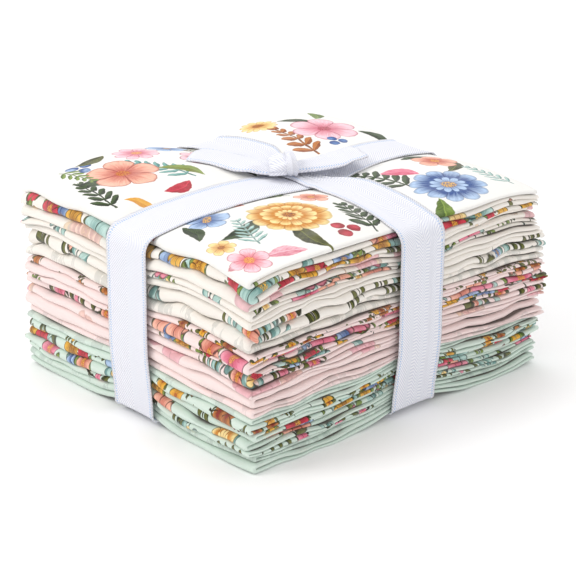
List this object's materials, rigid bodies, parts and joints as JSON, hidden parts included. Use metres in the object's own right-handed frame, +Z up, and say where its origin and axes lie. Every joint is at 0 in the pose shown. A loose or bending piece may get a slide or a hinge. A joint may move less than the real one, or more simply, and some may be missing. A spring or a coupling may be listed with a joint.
{
  "type": "fat quarter bundle",
  "caption": "Stack of folded printed cotton fat quarters, tied both ways with a woven herringbone tape that is knotted on top; rests flat on a shelf or table.",
  "frame": {"origin": "centre of the bundle's box in plan, on the surface that it rests on", "axes": "+Z up; -Y towards the side that shows the smooth half folds; +X towards the side that shows the creases"},
  "size_m": [0.2072, 0.232, 0.1277],
  "materials": {
    "cream_cotton": "matte printed cotton",
    "blush_cotton": "matte printed cotton",
    "mint_cotton": "matte printed cotton",
    "twill_tape": "matte herringbone twill"
  },
  "bodies": {
    "root": {"fat_quarter_01": "mint_cotton", "fat_quarter_02": "mint_cotton", "fat_quarter_03": "mint_cotton", "fat_quarter_04": "mint_cotton", "fat_quarter_05": "mint_cotton", "fat_quarter_06": "mint_cotton", "fat_quarter_07": "mint_cotton", "fat_quarter_08": "blush_cotton", "fat_quarter_09": "blush_cotton", "fat_quarter_10": "blush_cotton", "fat_quarter_11": "blush_cotton", "fat_quarter_12": "blush_cotton", "fat_quarter_13": "blush_cotton", "fat_quarter_14": "blush_cotton", "fat_quarter_15": "cream_cotton", "fat_quarter_16": "cream_cotton", "fat_quarter_17": "cream_cotton", "fat_quarter_18": "cream_cotton", "fat_quarter_19": "cream_cotton", "fat_quarter_20": "cream_cotton", "fat_quarter_21": "cream_cotton", "tape_depth_loop": "twill_tape", "tape_width_loop": "twill_tape", "tape_knot": "twill_tape", "tape_tail_left": "twill_tape", "tape_tail_right": "twill_tape"}
  },
  "joints": []
}
